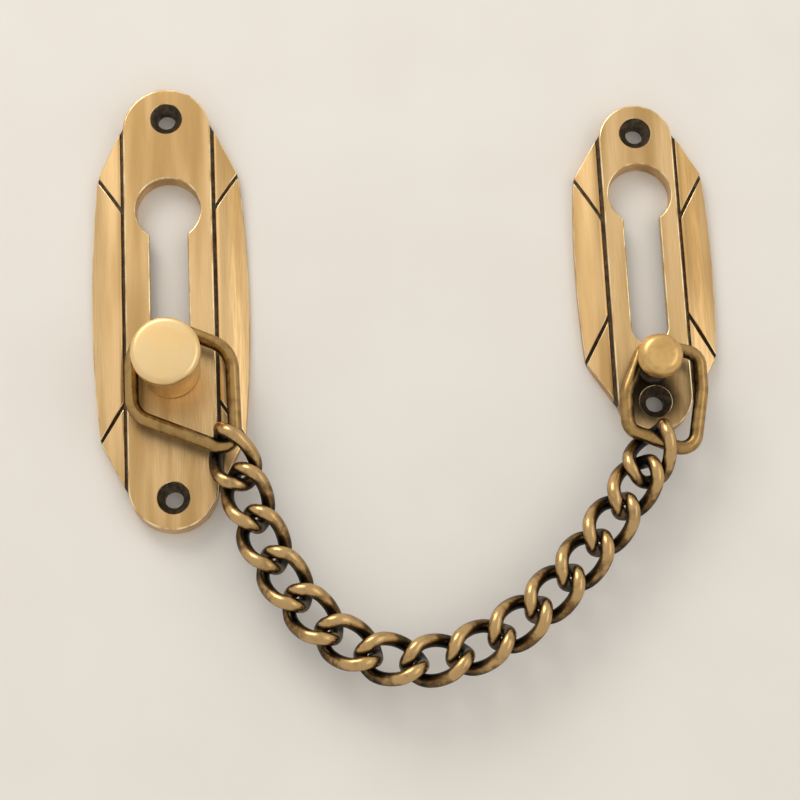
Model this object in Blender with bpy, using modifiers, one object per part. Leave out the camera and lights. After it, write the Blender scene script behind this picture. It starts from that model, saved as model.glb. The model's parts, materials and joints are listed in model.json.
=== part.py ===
"""Door chain guard in antique brass.

A keeper plate with a sliding knob and an anchor plate with a fixed post, each with a keyhole, joined by a
curb chain that hangs between two rounded triangular rings. Metres, +Z up the door, the front faces -Y,
and the door plane is Y = 0. The origin is on the keeper plate's flat back, on its centreline.
"""

import math

import bmesh
import bpy
from mathutils import Vector

mm = 0.001

# Where the plates stand
ORIGIN_BELOW_TOP = 97 * mm      # from the keeper plate's top down to the origin
PLATE_SPACING = 125 * mm        # between the two plates' centrelines
ANCHOR_DROP = 9.2 * mm          # the anchor plate's top lies this much lower than the keeper's

# Both plates
PLATE_DEPTH = 5.0 * mm          # door plane to the centre strip's front
WING_STEP = 0.7 * mm            # the wings start this far behind the strip's front
WING_EDGE_DEPTH = 2.4 * mm      # thickness of a wing at its outer edge
GROOVE_WIDTH = 0.8 * mm
GROOVE_DEPTH = 0.7 * mm
SCREW_BORE = 4.8 * mm
SCREW_SINK = 8.4 * mm           # countersink diameter at the front
BACK_CLEARANCE = 0.25 * mm      # between the knob's rivet and the door
CHANNEL_CLEARANCE = 0.4 * mm    # each side of the knob's foot
GAP = 0.3 * mm                  # between pieces that touch
WING_ROOT = 0.85                # a wing starts inside the strip, at this share of its half width
WING_STEPS = 8                  # straight pieces in a wing's bowed edge
SEAM_OVERRUN = 1.15             # a seam is cut to this share of the wing's width
CUT_OVER = 1 * mm               # openings are cut from this far outside the metal

# Keeper plate
KEEPER = dict(
    height=120 * mm, strip_half=11.6 * mm, wing_half=20.6 * mm, corner_half=18.6 * mm,
    corner_inset=24 * mm, wing_inset=6.4 * mm, seam_inset=34.6 * mm, screw_inset=8.35 * mm,
    keyhole_inset=33.8 * mm, keyhole_radius=8.5 * mm, slot_half=5.0 * mm, slot_end=78.1 * mm,
)

# Anchor plate
ANCHOR = dict(
    height=90 * mm, strip_half=9.8 * mm, wing_half=18.2 * mm, corner_half=17.1 * mm,
    corner_inset=19.6 * mm, wing_inset=5.5 * mm, seam_inset=32.6 * mm, screw_inset=7.9 * mm,
    keyhole_inset=25.0 * mm, keyhole_radius=8.25 * mm, slot_half=4.75 * mm, slot_end=61.8 * mm,
)
POST_INSET = 73.5 * mm          # anchor plate's top down to the post

# Sliding knob
KNOB_NECK = 7.4 * mm            # radii
KNOB_LIP = 1.4 * mm             # how far the head stands out beyond the neck
KNOB_SHANK = 2.5 * mm
KNOB_FRONT = 25.2 * mm          # door plane to the head's front
KNOB_HEAD_THICKNESS = 4.8 * mm
FOOT_RADIUS = 7.2 * mm
FOOT_THICKNESS = 1.2 * mm
RIVET_RADIUS = 4.2 * mm
RIVET_THICKNESS = 0.6 * mm
STEM_CLEARANCE = 0.4 * mm       # each side of the stem in the slot

# Fixed post
POST_HEAD = 5.8 * mm
POST_NECK = 2.5 * mm
POST_COLLAR = 4.0 * mm
POST_FRONT = 21.2 * mm
POST_RIVET = 1.2 * mm           # thickness of the riveted end in the plate's back

# Rings, seen from the front and measured from the axis of the knob or post that they hang on
RING_WIRE = 1.8 * mm            # radius
RING_CLEARANCE = 0.45 * mm      # between the ring and the neck it hangs on
RING_SLOPE = 0.43               # fall of a ring's lower limb
KEEPER_RING = dict(
    reach=15.9 * mm, foot_reach=16.4 * mm, drop=24.0 * mm, top_angle=math.radians(66),
    upper_radius=8.0 * mm, left_radius=6.2 * mm, lower_radius=3.5 * mm,
)
ANCHOR_RING = dict(
    reach=11.1 * mm, foot_reach=7.8 * mm, left_reach=8.5 * mm, drop=24.2 * mm, bend_drop=7.3 * mm,
    top_angle=math.radians(75), side_angle=math.radians(157), upper_radius=4.0 * mm,
    shoulder_radius=9.0 * mm, left_radius=3.8 * mm, lower_radius=4.0 * mm, bend_radius=16.0 * mm,
)

# Curb chain
LINK_COUNT = 15
LINK_WIRE = 1.75 * mm           # radius
LINK_LENGTH = 10.97 * LINK_WIRE
LINK_WIDTH = 7.66 * LINK_WIRE
LINK_SLACK = 0.4 * LINK_WIRE    # play between two neighbours
LINK_TWIST = math.radians(65)   # the oval is twisted evenly, by this much at each end
LINK_STEPS = 4                  # straight pieces in the middle of each long side
END_ROLL = math.radians(23)     # the end links roll further, to hook round the rings
HOOK_SLACK = 0.6 * mm           # play between an end link and its ring
CHAIN_LEAN = math.radians(-13)  # the chain's curve leans towards the keeper plate
HOOK_SLOPE = math.radians(-69)  # the first link lies along its ring's corner
TAIL_SLOPE = math.radians(64)   # and the last one across its ring's lower limb
TAIL_TURN = math.radians(9)     # the most that the last link turns against its neighbour
END_PLAY = 0.9 * LINK_WIRE      # the last link sits this much further into its neighbour
HOOK_ACROSS = 0.68              # the first link's line starts here in the ring's lower corner,
HOOK_UP = 0.75                  # as shares of the corner's radius to its left and above it
TAIL_PLACE = -1.4 * mm          # the last link's line ends here on its ring's lower limb
LEFT_LINKS = 8                  # links that hang from the keeper ring in the joint tree
PLANE_CLEARANCE = 0.1 * mm      # between an end link's back limb and the strip's front

ARC_STEP = math.radians(15)


# Derived sizes

KNOB_HEAD = KNOB_NECK + KNOB_LIP
LINK_PITCH = LINK_LENGTH - 4 * LINK_WIRE - LINK_SLACK
LINK_A = LINK_LENGTH / 2 - LINK_WIRE
LINK_B = LINK_WIDTH / 2 - LINK_WIRE
HOOK_OFFSET = LINK_A - LINK_WIRE - RING_WIRE - HOOK_SLACK
SHOULDER = BACK_CLEARANCE + RIVET_THICKNESS + FOOT_THICKNESS + 2 * GAP     # where the stem's back lies
CHANNEL_DEPTH = SHOULDER + GAP / 2
KEEPER_TOP = Vector((0, 0, ORIGIN_BELOW_TOP))
ANCHOR_TOP = Vector((PLATE_SPACING, 0, ORIGIN_BELOW_TOP - ANCHOR_DROP))
KNOB_AXIS = KEEPER_TOP - Vector((0, 0, KEEPER["slot_end"]))
POST_AXIS = ANCHOR_TOP - Vector((0, 0, POST_INSET))


# Scene helpers

def clear_scene():
    for obj in list(bpy.data.objects):
        bpy.data.objects.remove(obj, do_unlink=True)
    for collection in list(bpy.data.collections):
        bpy.data.collections.remove(collection)


def new_collection(name):
    collection = bpy.data.collections.new(name)
    bpy.context.scene.collection.children.link(collection)
    return collection


clear_scene()
PARTS = new_collection("door_chain_guard")
CUTTERS = new_collection("cutters")


def brass(name, colour, roughness):
    """A metal of its own for one sub-part."""
    material = bpy.data.materials.new(name)
    material.use_nodes = True
    shader = material.node_tree.nodes["Principled BSDF"]
    shader.inputs["Base Color"].default_value = (*colour, 1)
    shader.inputs["Metallic"].default_value = 1
    shader.inputs["Roughness"].default_value = roughness
    return material


SATIN = (0.62, 0.42, 0.17)
KNOB_GOLD = (0.68, 0.47, 0.20)
BRONZE = (0.30, 0.17, 0.06)


def finish(obj, colour, roughness):
    obj.data.materials.clear()
    obj.data.materials.append(brass(f"{obj.name}_brass", colour, roughness))


def hide_cutter(obj):
    obj.hide_render = True
    obj.display_type = "WIRE"


def link_object(name, data, collection):
    obj = bpy.data.objects.new(name, data)
    collection.objects.link(obj)
    if collection == CUTTERS:
        hide_cutter(obj)
    return obj


def to_mesh_object(obj, collection):
    """A curve made into a welded mesh object in the same place."""
    bpy.context.view_layer.update()
    graph = bpy.context.evaluated_depsgraph_get()
    mesh = bpy.data.meshes.new_from_object(obj.evaluated_get(graph))
    work = bmesh.new()
    work.from_mesh(mesh)
    bmesh.ops.remove_doubles(work, verts=work.verts, dist=1e-6)
    bmesh.ops.recalc_face_normals(work, faces=work.faces)
    work.to_mesh(mesh)
    work.free()
    solid = link_object(obj.name + "_solid", mesh, collection)
    solid.matrix_world = obj.matrix_world.copy()
    name = obj.name
    bpy.data.objects.remove(obj, do_unlink=True)
    solid.name = name
    return solid


def flat_solid(name, outline, back, front, collection):
    """An outline of (x, z) points, extruded between two distances from the door plane."""
    curve = bpy.data.curves.new(name, "CURVE")
    curve.dimensions = "2D"
    curve.fill_mode = "BOTH"
    curve.extrude = (front - back) / 2
    spline = curve.splines.new("POLY")
    spline.points.add(len(outline) - 1)
    for point, (x, z) in zip(spline.points, outline):
        point.co = (x, z, 0, 1)
    spline.use_cyclic_u = True
    obj = link_object(name, curve, collection)
    obj.location = (0, -(front + back) / 2, 0)
    obj.rotation_euler = (math.pi / 2, 0, 0)
    return to_mesh_object(obj, collection)


def turned(name, profile, centre, collection, steps=32):
    """A profile of (radius, distance from the door plane) points, front first, spun about the Y axis."""
    mesh = bpy.data.meshes.new(name)
    points = [(radius, 0, depth) for radius, depth in profile]
    mesh.from_pydata(points, [(i, i + 1) for i in range(len(points) - 1)], [])
    obj = link_object(name, mesh, collection)
    obj.location = (centre.x, 0, centre.z)
    obj.rotation_euler = (math.pi / 2, 0, 0)
    screw = obj.modifiers.new("Screw", "SCREW")
    screw.axis = "Z"
    screw.steps = screw.render_steps = steps
    screw.use_merge_vertices = True
    screw.merge_threshold = 1e-5
    screw.use_smooth_shade = True
    return obj


def boolean(obj, other, operation):
    modifier = obj.modifiers.new(other.name, "BOOLEAN")
    modifier.operation = operation
    modifier.object = other


def arc(centre, radius, start, end):
    """Points of an arc in the XZ plane, both ends included."""
    count = max(2, math.ceil(abs(end - start) / ARC_STEP) + 1)
    angles = [start + (end - start) * i / (count - 1) for i in range(count)]
    return [
        (centre[0] + radius * math.cos(angle), centre[1] + radius * math.sin(angle))
        for angle in angles
    ]


def rounded(corners):
    """A closed outline through corners (x, z, radius), each rounded with an arc. It runs anticlockwise."""
    outline = []
    for i, (x, z, radius) in enumerate(corners):
        here = Vector((x, z))
        before = (Vector(corners[i - 1][:2]) - here).normalized()
        after = (Vector(corners[(i + 1) % len(corners)][:2]) - here).normalized()
        half = before.angle(after) / 2
        centre = here + (before + after).normalized() * (radius / math.sin(half))
        start = (here + before * (radius / math.tan(half))) - centre
        turn = math.pi - 2 * half
        first = math.atan2(start.y, start.x)
        outline += arc(centre, radius, first, first + turn)
    return outline


# Plates

def strip_outline(spec, top):
    """The centre strip: straight sides and round ends."""
    half = spec["strip_half"]
    upper = top.z - half
    lower = top.z - spec["height"] + half
    return arc((top.x, upper), half, 0, math.pi) + arc((top.x, lower), half, math.pi, 2 * math.pi)


def wing_outline(spec, top, side):
    """One wing, from inside the strip to its bowed outer edge."""
    middle = top.z - spec["height"] / 2
    join = spec["height"] / 2 - spec["wing_inset"]
    corner = spec["height"] / 2 - spec["corner_inset"]
    bow = spec["wing_half"] - spec["corner_half"]
    inner = spec["strip_half"] * WING_ROOT
    edge = [
        (spec["corner_half"] + bow * (1 - t * t), middle + corner * t)
        for t in [2 * i / WING_STEPS - 1 for i in range(WING_STEPS + 1)]
    ]
    points = [(inner, middle - join), *edge, (inner, middle + join)]
    return [(top.x + side * x, z) for x, z in points]


def wing_depth(spec, x):
    """Thickness of a wing at a distance x from the plate's centreline."""
    inner = PLATE_DEPTH - WING_STEP
    share = (x - spec["strip_half"]) / (spec["corner_half"] - spec["strip_half"])
    return inner + (WING_EDGE_DEPTH - inner) * share


def add_wing(plate, spec, top, side):
    name = f"{plate.name}_wing_{'right' if side > 0 else 'left'}"
    wing = flat_solid(name, wing_outline(spec, top, side), 0, PLATE_DEPTH, CUTTERS)
    for vertex in wing.data.vertices:
        place = wing.matrix_world @ vertex.co
        if place.y < -PLATE_DEPTH / 2:
            depth = wing_depth(spec, abs(place.x - top.x))
            vertex.co.z += depth - PLATE_DEPTH
    boolean(plate, wing, "UNION")


def cut_groove(plate, name, start, end):
    """A square groove between two points of the surface, each (x, z, depth)."""
    first = Vector((start[0], -start[2], start[1]))
    last = Vector((end[0], -end[2], end[1]))
    mesh = bpy.data.meshes.new(name)
    work = bmesh.new()
    bmesh.ops.create_cube(work, size=1)
    work.to_mesh(mesh)
    work.free()
    groove = link_object(name, mesh, CUTTERS)
    along = (last - first).normalized()
    groove.rotation_euler = along.to_track_quat("Z", "Y").to_euler()
    groove.location = (first + last) / 2
    groove.scale = (GROOVE_WIDTH, 2 * GROOVE_DEPTH, (last - first).length)
    boolean(plate, groove, "DIFFERENCE")


def cut_grooves(plate, spec, top):
    """Two long grooves along the strip and four short ones that divide the wings."""
    middle = top.z - spec["height"] / 2
    run = spec["height"] / 2 - spec["wing_inset"] + 3 * GROOVE_WIDTH
    beside = spec["strip_half"] + GROOVE_WIDTH / 2
    depth = wing_depth(spec, beside)
    for side in (-1, 1):
        hand = "right" if side > 0 else "left"
        x = top.x + side * beside
        ends = (x, middle - run, depth), (x, middle + run, depth)
        cut_groove(plate, f"{plate.name}_groove_{hand}", *ends)
        for way in (-1, 1):
            outer = spec["strip_half"] + (spec["corner_half"] - spec["strip_half"]) * SEAM_OVERRUN
            seam = spec["height"] / 2 - spec["seam_inset"]
            corner = spec["height"] / 2 - spec["corner_inset"]
            far = seam + (corner - seam) * SEAM_OVERRUN
            inner = spec["strip_half"]
            ends = (
                (top.x + side * inner, middle + way * seam, wing_depth(spec, inner)),
                (top.x + side * outer, middle + way * far, wing_depth(spec, outer)),
            )
            end_name = "upper" if way > 0 else "lower"
            cut_groove(plate, f"{plate.name}_seam_{hand}_{end_name}", *ends)


def keyhole_outline(spec, top):
    """A round opening with a narrower slot running down from it to a round end."""
    radius, half = spec["keyhole_radius"], spec["slot_half"]
    centre = (top.x, top.z - spec["keyhole_inset"])
    foot = (top.x, top.z - spec["slot_end"])
    mouth = math.asin(half / radius)
    return (
        arc(centre, radius, -math.pi / 2 + mouth, 3 * math.pi / 2 - mouth)
        + arc(foot, half, math.pi, 2 * math.pi)
    )


def channel_outline(spec, top):
    """The hollow in the back that the knob's foot slides along."""
    half = FOOT_RADIUS + CHANNEL_CLEARANCE
    upper = (top.x, top.z - spec["keyhole_inset"])
    lower = (top.x, top.z - spec["slot_end"])
    return arc(upper, half, 0, math.pi) + arc(lower, half, math.pi, 2 * math.pi)


def screw_hole(plate, name, centre):
    sink = (SCREW_SINK - SCREW_BORE) / 2
    profile = [
        (0, PLATE_DEPTH + CUT_OVER),
        (SCREW_SINK / 2, PLATE_DEPTH + CUT_OVER),
        (SCREW_SINK / 2, PLATE_DEPTH),
        (SCREW_BORE / 2, PLATE_DEPTH - sink),
        (SCREW_BORE / 2, -CUT_OVER),
        (0, -CUT_OVER),
    ]
    boolean(plate, turned(name, profile, centre, CUTTERS, steps=24), "DIFFERENCE")


def make_plate(name, spec, top):
    plate = flat_solid(name, strip_outline(spec, top), 0, PLATE_DEPTH, PARTS)
    for side in (-1, 1):
        add_wing(plate, spec, top, side)
    cut_grooves(plate, spec, top)
    front = PLATE_DEPTH + CUT_OVER
    keyhole = flat_solid(f"{name}_keyhole", keyhole_outline(spec, top), -CUT_OVER, front, CUTTERS)
    channel = flat_solid(f"{name}_channel", channel_outline(spec, top), -CUT_OVER, CHANNEL_DEPTH, CUTTERS)
    boolean(plate, channel, "DIFFERENCE")
    boolean(plate, keyhole, "DIFFERENCE")
    for end, inset in (("top", spec["screw_inset"]), ("bottom", spec["height"] - spec["screw_inset"])):
        screw_hole(plate, f"{name}_screw_{end}", top - Vector((0, 0, inset)))
    finish(plate, SATIN, 0.34)
    return plate


# Knob, foot and post

def make_knob():
    back = KNOB_FRONT - KNOB_HEAD_THICKNESS
    stem = KEEPER["slot_half"] - STEM_CLEARANCE
    foot_back = SHOULDER - 2 * GAP - FOOT_THICKNESS
    profile = [
        (0, KNOB_FRONT),
        (KNOB_HEAD * 0.80, KNOB_FRONT - 0.15 * mm),
        (KNOB_HEAD * 0.93, KNOB_FRONT - 0.6 * mm),
        (KNOB_HEAD, KNOB_FRONT - 1.6 * mm),
        (KNOB_HEAD, back + 1.2 * mm),
        (KNOB_HEAD * 0.95, back + 0.4 * mm),
        (KNOB_NECK, back),
        (KNOB_NECK, PLATE_DEPTH + GAP),
        (stem, PLATE_DEPTH + GAP),
        (stem, SHOULDER),
        (KNOB_SHANK, SHOULDER),
        (KNOB_SHANK, foot_back),
        (RIVET_RADIUS, foot_back),
        (RIVET_RADIUS, foot_back - RIVET_THICKNESS),
        (0, foot_back - RIVET_THICKNESS),
    ]
    knob = turned("sliding_knob", profile, KNOB_AXIS, PARTS)
    finish(knob, KNOB_GOLD, 0.3)
    front = SHOULDER - GAP
    rim = [
        (KNOB_SHANK + GAP, front),
        (FOOT_RADIUS, front),
        (FOOT_RADIUS, front - FOOT_THICKNESS),
        (KNOB_SHANK + GAP, front - FOOT_THICKNESS),
        (KNOB_SHANK + GAP, front),
    ]
    foot = turned("knob_foot_washer", rim, KNOB_AXIS, PARTS)
    finish(foot, SATIN, 0.4)
    return knob, foot


def make_post(plate):
    head = POST_FRONT
    profile = [
        (0, head),
        (POST_HEAD * 0.62, head - 0.15 * mm),
        (POST_HEAD * 0.83, head - 0.9 * mm),
        (POST_HEAD * 0.96, head - 2.2 * mm),
        (POST_HEAD, head - 3.6 * mm),
        (POST_HEAD * 0.9, head - 4.8 * mm),
        (POST_HEAD * 0.62, head - 5.6 * mm),
        (POST_NECK, head - 6.2 * mm),
        (POST_NECK, PLATE_DEPTH + GAP + 1.2 * mm),
        (POST_COLLAR, PLATE_DEPTH + GAP + 0.9 * mm),
        (POST_COLLAR, PLATE_DEPTH + GAP),
        (POST_NECK, PLATE_DEPTH + GAP),
        (POST_NECK, POST_RIVET),
        (RIVET_RADIUS, POST_RIVET),
        (RIVET_RADIUS, GAP),
        (0, GAP),
    ]
    post = turned("anchor_post", profile, POST_AXIS, PARTS)
    finish(post, KNOB_GOLD, 0.32)
    bore = [
        (0, PLATE_DEPTH + CUT_OVER),
        (POST_NECK + GAP, PLATE_DEPTH + CUT_OVER),
        (POST_NECK + GAP, POST_RIVET + GAP),
        (RIVET_RADIUS + GAP, POST_RIVET + GAP),
        (RIVET_RADIUS + GAP, -CUT_OVER),
        (0, -CUT_OVER),
    ]
    boolean(plate, turned("anchor_post_bore", bore, POST_AXIS, CUTTERS), "DIFFERENCE")
    return post


# Rings

def crown_corner(radius, side, top):
    """The corner whose arc goes round the neck. Its two sides touch the circle at these angles."""
    away = radius / math.cos((side - top) / 2)
    middle = (side + top) / 2
    return (away * math.cos(middle), away * math.sin(middle), radius)


def on_tangent(radius, normal, x):
    """Height at x of the line that touches the circle about the axis at this angle."""
    return (radius - x * math.cos(normal)) / math.sin(normal)


def keeper_ring_corners():
    """Corners (x, z, radius) of the wire's centre line about the knob's axis, anticlockwise."""
    ring = KEEPER_RING
    crown = KNOB_NECK + RING_CLEARANCE + RING_WIRE
    top, reach, foot = ring["top_angle"], ring["reach"], ring["foot_reach"]
    return [
        (reach, on_tangent(crown, top, reach), ring["upper_radius"]),
        crown_corner(crown, math.pi, top),
        (-crown, -ring["drop"] + (foot + crown) * RING_SLOPE, ring["left_radius"]),
        (foot, -ring["drop"], ring["lower_radius"]),
    ]


def anchor_ring_corners():
    """The same for the narrower ring, about the post's axis."""
    ring = ANCHOR_RING
    crown = POST_NECK + RING_CLEARANCE + RING_WIRE
    top, side = ring["top_angle"], ring["side_angle"]
    reach, foot, left = ring["reach"], ring["foot_reach"], -ring["left_reach"]
    return [
        (reach, on_tangent(crown, top, reach), ring["upper_radius"]),
        crown_corner(crown, side, top),
        (left, on_tangent(crown, side, left), ring["shoulder_radius"]),
        (left, -ring["drop"] + (foot - left) * RING_SLOPE, ring["left_radius"]),
        (foot, -ring["drop"], ring["lower_radius"]),
        (reach, -ring["bend_drop"], ring["bend_radius"]),
    ]


def wire_object(name, points, radius, place):
    """A closed round wire through points given about its own place."""
    curve = bpy.data.curves.new(name, "CURVE")
    curve.dimensions = "3D"
    curve.bevel_depth = radius
    curve.bevel_resolution = 2
    spline = curve.splines.new("POLY")
    spline.points.add(len(points) - 1)
    for point, co in zip(spline.points, points):
        point.co = (*co, 1)
    spline.use_cyclic_u = True
    obj = link_object(name, curve, PARTS)
    obj.location = place
    return obj


def make_ring(name, corners, axis):
    centre = Vector((axis.x, -CHAIN_DEPTH, axis.z))
    points = [(x, 0, z) for x, z in rounded(corners)]
    ring = wire_object(name, points, RING_WIRE, centre)
    finish(ring, BRONZE, 0.35)
    return ring


# Chain

def keeper_hook():
    """Where the first link's line starts: inside the keeper ring's lower corner."""
    x, z, radius = keeper_ring_corners()[-1]
    return Vector((KNOB_AXIS.x + x - HOOK_ACROSS * radius, 0, KNOB_AXIS.z + z + HOOK_UP * radius))


def anchor_hook():
    """Where the last link's line ends: on the anchor ring's lower limb, below the post."""
    x, z, _ = anchor_ring_corners()[-2]
    rise = (x - TAIL_PLACE) * RING_SLOPE
    return Vector((POST_AXIS.x + TAIL_PLACE, 0, POST_AXIS.z + z + rise))


def link_angles(width, lowest):
    """Each link's slope on a catenary of this width whose lowest point is this far along the chain.

    The end links keep the slopes that their rings give them, and the last but one follows the last.
    """
    angles = [
        math.atan((i * LINK_PITCH - lowest) / width) + CHAIN_LEAN for i in range(LINK_COUNT)
    ]
    angles[0] = HOOK_SLOPE
    angles[-1] = TAIL_SLOPE
    angles[-2] = max(angles[-2], TAIL_SLOPE - TAIL_TURN)
    return angles


def direction(angle):
    return Vector((math.cos(angle), 0, math.sin(angle)))


def link_centres(angles, start):
    centres = [start + HOOK_OFFSET * direction(angles[0])]
    for before, after in zip(angles, angles[1:]):
        centres.append(centres[-1] + LINK_PITCH / 2 * (direction(before) + direction(after)))
    centres[-1] -= END_PLAY * direction(angles[-1])
    return centres


def hang_chain(start, end):
    """The width and lowest point with which the chain just reaches from start to end, by Newton steps."""
    def miss(width, lowest):
        angles = link_angles(width, lowest)
        reached = link_centres(angles, start)[-1] + HOOK_OFFSET * direction(angles[-1])
        return reached - end

    width, lowest = LINK_COUNT * LINK_PITCH / 5, LINK_COUNT * LINK_PITCH / 2
    step = 1e-7
    for _ in range(60):
        now = miss(width, lowest)
        by_width = (miss(width + step, lowest) - now) / step
        by_lowest = (miss(width, lowest + step) - now) / step
        det = by_width.x * by_lowest.z - by_width.z * by_lowest.x
        more_width = (-now.x * by_lowest.z + now.z * by_lowest.x) / det
        more_lowest = (-by_width.x * now.z + by_width.z * now.x) / det
        limit = 0.3 * width
        width += max(-limit, min(limit, more_width))
        lowest += max(-limit, min(limit, more_lowest))
    return width, lowest


def link_outline():
    """The flat oval that a link is twisted from, as (along, across) points."""
    straight = LINK_A - LINK_B
    middle = [straight * (1 - 2 * i / LINK_STEPS) for i in range(1, LINK_STEPS)]
    right = arc((straight, 0), LINK_B, -math.pi / 2, math.pi / 2)
    left = arc((-straight, 0), LINK_B, math.pi / 2, 3 * math.pi / 2)
    upper = [(along, LINK_B) for along in middle]
    lower = [(-along, -LINK_B) for along in middle]
    return right + upper + left + lower


def link_points(roll=0):
    """The centre line of one twisted link, lying along X with its width along Z before it is rolled."""
    points = []
    for along, across in link_outline():
        turn = LINK_TWIST * along / LINK_A + roll
        points.append((along, across * math.sin(turn), across * math.cos(turn)))
    return points


# The rings and the chain hang in one plane, just far enough out for the rolled end links to clear a strip.
ROLLED_DEPTH = max(depth for _, depth, _ in link_points(END_ROLL))
CHAIN_DEPTH = PLATE_DEPTH + PLANE_CLEARANCE + LINK_WIRE + ROLLED_DEPTH


def make_empty(name, place, parent):
    empty = bpy.data.objects.new(name, None)
    PARTS.objects.link(empty)
    empty.empty_display_size = 2 * mm
    empty.location = place
    adopt(empty, parent)
    return empty


def adopt(obj, parent):
    """Parent without moving: every empty here is unturned, so only the place is relative."""
    if parent is not None:
        bpy.context.view_layer.update()
        obj.location = obj.matrix_world.translation - parent.matrix_world.translation
        obj.parent = parent


def make_chain(keeper_ring_pivot, anchor_ring_pivot):
    start, end = keeper_hook(), anchor_hook()
    angles = link_angles(*hang_chain(start, end))
    centres = link_centres(angles, start)
    points = link_points()
    plane = Vector((0, -CHAIN_DEPTH, 0))
    pivots = {}
    order = list(range(LEFT_LINKS)) + list(range(LINK_COUNT - 1, LEFT_LINKS - 1, -1))
    for i in order:
        first, last = i == 0, i == LINK_COUNT - 1
        if i < LEFT_LINKS:
            back = HOOK_OFFSET if first else LINK_PITCH / 2
            pivot = centres[i] - back * direction(angles[i])
            parent = keeper_ring_pivot if first else pivots[i - 1]
        else:
            back = HOOK_OFFSET if last else LINK_PITCH / 2
            pivot = centres[i] + back * direction(angles[i])
            parent = anchor_ring_pivot if last else pivots[i + 1]
        number = f"{i + 1:02d}"
        pivots[i] = make_empty(f"pivot_link_{number}", pivot + plane, parent)
        link = wire_object(f"link_{number}", points, LINK_WIRE, centres[i] + plane)
        roll = END_ROLL if first else -END_ROLL if last else 0
        link.rotation_euler = (roll, -angles[i], 0)
        adopt(link, pivots[i])
        finish(link, BRONZE, 0.33)


def main():
    make_plate("keeper_plate", KEEPER, KEEPER_TOP)
    anchor = make_plate("anchor_plate", ANCHOR, ANCHOR_TOP)
    make_post(anchor)
    slider = make_empty("pivot_knob_slide", KNOB_AXIS, None)
    for piece in make_knob():
        adopt(piece, slider)
    plane = Vector((0, -CHAIN_DEPTH, 0))
    keeper_pivot = make_empty("pivot_keeper_ring", KNOB_AXIS + plane, slider)
    anchor_pivot = make_empty("pivot_anchor_ring", POST_AXIS + plane, None)
    adopt(make_ring("keeper_ring", keeper_ring_corners(), KNOB_AXIS), keeper_pivot)
    adopt(make_ring("anchor_ring", anchor_ring_corners(), POST_AXIS), anchor_pivot)
    make_chain(keeper_pivot, anchor_pivot)


main()
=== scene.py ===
"""Looks of the door chain guard: brushed brass plates, a satin knob and post, and a bronze curb chain.

Metres, +Z up the door, the front faces -Y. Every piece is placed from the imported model's boxes and joints.
"""

import json
import math

import bmesh
import bpy
from mathutils import Matrix, Vector
from mathutils.geometry import convex_hull_2d, tessellate_polygon


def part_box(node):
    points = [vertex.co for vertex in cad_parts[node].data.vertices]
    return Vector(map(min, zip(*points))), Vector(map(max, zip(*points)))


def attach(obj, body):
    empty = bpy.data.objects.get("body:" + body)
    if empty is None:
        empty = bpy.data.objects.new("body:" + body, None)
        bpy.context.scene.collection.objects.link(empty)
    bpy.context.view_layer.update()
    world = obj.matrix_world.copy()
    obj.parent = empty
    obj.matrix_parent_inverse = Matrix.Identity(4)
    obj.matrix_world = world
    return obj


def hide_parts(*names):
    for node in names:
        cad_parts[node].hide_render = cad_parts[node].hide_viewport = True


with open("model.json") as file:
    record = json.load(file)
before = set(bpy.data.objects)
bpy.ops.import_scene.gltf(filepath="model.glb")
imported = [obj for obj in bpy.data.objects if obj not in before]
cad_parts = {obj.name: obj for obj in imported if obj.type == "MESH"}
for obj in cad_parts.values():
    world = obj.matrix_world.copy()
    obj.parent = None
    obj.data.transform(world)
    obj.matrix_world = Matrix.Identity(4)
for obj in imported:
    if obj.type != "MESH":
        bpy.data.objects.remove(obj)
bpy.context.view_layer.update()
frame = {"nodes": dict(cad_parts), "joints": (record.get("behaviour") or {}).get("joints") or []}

mm = 0.001

# Both plates
PLATE_DEPTH = 5.0 * mm
WING_STEP = 0.7 * mm
WING_EDGE_DEPTH = 2.4 * mm
WING_BULGE = 0.45 * mm          # how far the long facets stand above a flat slope
CORNER_BULGE = 0.10 * mm        # and the small facets at the corners
LIP_WIDTH = 1.1 * mm            # the facets fall away towards the strip over this width
LIP_DROP = 0.30 * mm
GROOVE_WIDTH = 0.8 * mm
GROOVE_DEPTH = 0.7 * mm
STRIP_ROUNDING = 0.45 * mm
FACET_ROUNDING = 0.22 * mm
SCREW_BORE = 4.8 * mm
SCREW_SINK = 8.4 * mm
SINK_LIP = 0.16 * mm
CHANNEL_DEPTH = 2.8 * mm
CHANNEL_HALF = 7.6 * mm
GAP = 0.3 * mm                  # between pieces that touch
WING_ROOT = 0.85                # a wing starts inside the strip, at this share of its half width
WING_STEPS = 36                 # straight pieces in a wing's bowed edge
LIP_CUTS = 4                    # lines across a facet's lip, along which it bends
SLOPE_CUTS = 14                 # pieces that the rest of the facet is bent in
FLOOR_INSET = 0.15 * mm         # the grooves' floor stays this far inside a wing's outline
FLOOR_ROUNDING = 0.02 * mm
CHANNEL_ROUNDING = 0.1 * mm
CUT_OVER = 1 * mm               # openings are cut from this far outside the metal

KEEPER = dict(
    strip_half=11.6 * mm, corner_half=18.6 * mm, corner_inset=24 * mm, wing_inset=6.4 * mm,
    seam_inset=34.6 * mm, screw_inset=8.35 * mm, keyhole_inset=33.8 * mm,
    keyhole_radius=8.5 * mm, slot_half=5.0 * mm, slot_end=78.1 * mm,
)
ANCHOR = dict(
    strip_half=9.8 * mm, corner_half=17.1 * mm, corner_inset=19.6 * mm, wing_inset=5.5 * mm,
    seam_inset=32.6 * mm, screw_inset=7.9 * mm, keyhole_inset=25.0 * mm,
    keyhole_radius=8.25 * mm, slot_half=4.75 * mm, slot_end=61.8 * mm,
)

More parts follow.
